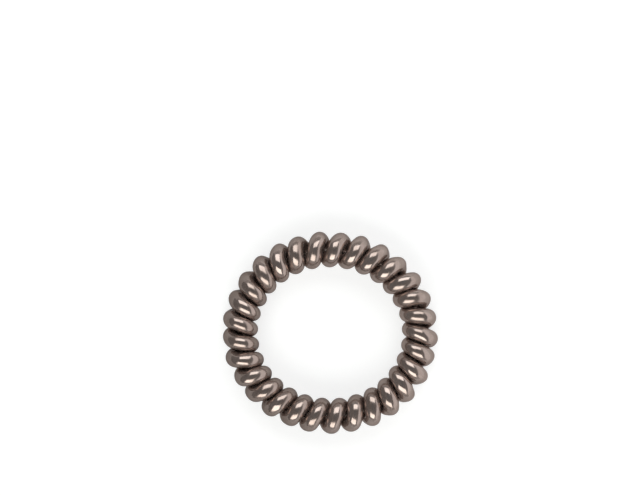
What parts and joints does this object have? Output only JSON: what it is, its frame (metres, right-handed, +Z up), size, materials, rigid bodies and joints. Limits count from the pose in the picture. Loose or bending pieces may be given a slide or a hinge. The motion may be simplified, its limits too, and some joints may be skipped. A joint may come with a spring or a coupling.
{
  "type": "spiral hair tie",
  "caption": "Elastic hair tie: a glossy metallic cord wound into a close coil that closes into a ring, which stretches round a ponytail or a wrist.",
  "frame": {"origin": "centre of the ring, on the surface that the tie lies on", "axes": "+Z up along the ring's axis, through its thinnest direction; +X along the longer way of the slightly oval ring"},
  "size_m": [0.0548, 0.0516, 0.0092],
  "materials": {
    "cord": "glossy elastic plastic with a thin bronze metallic coating"
  },
  "bodies": {
    "root": {"coil": "cord"}
  },
  "joints": []
}
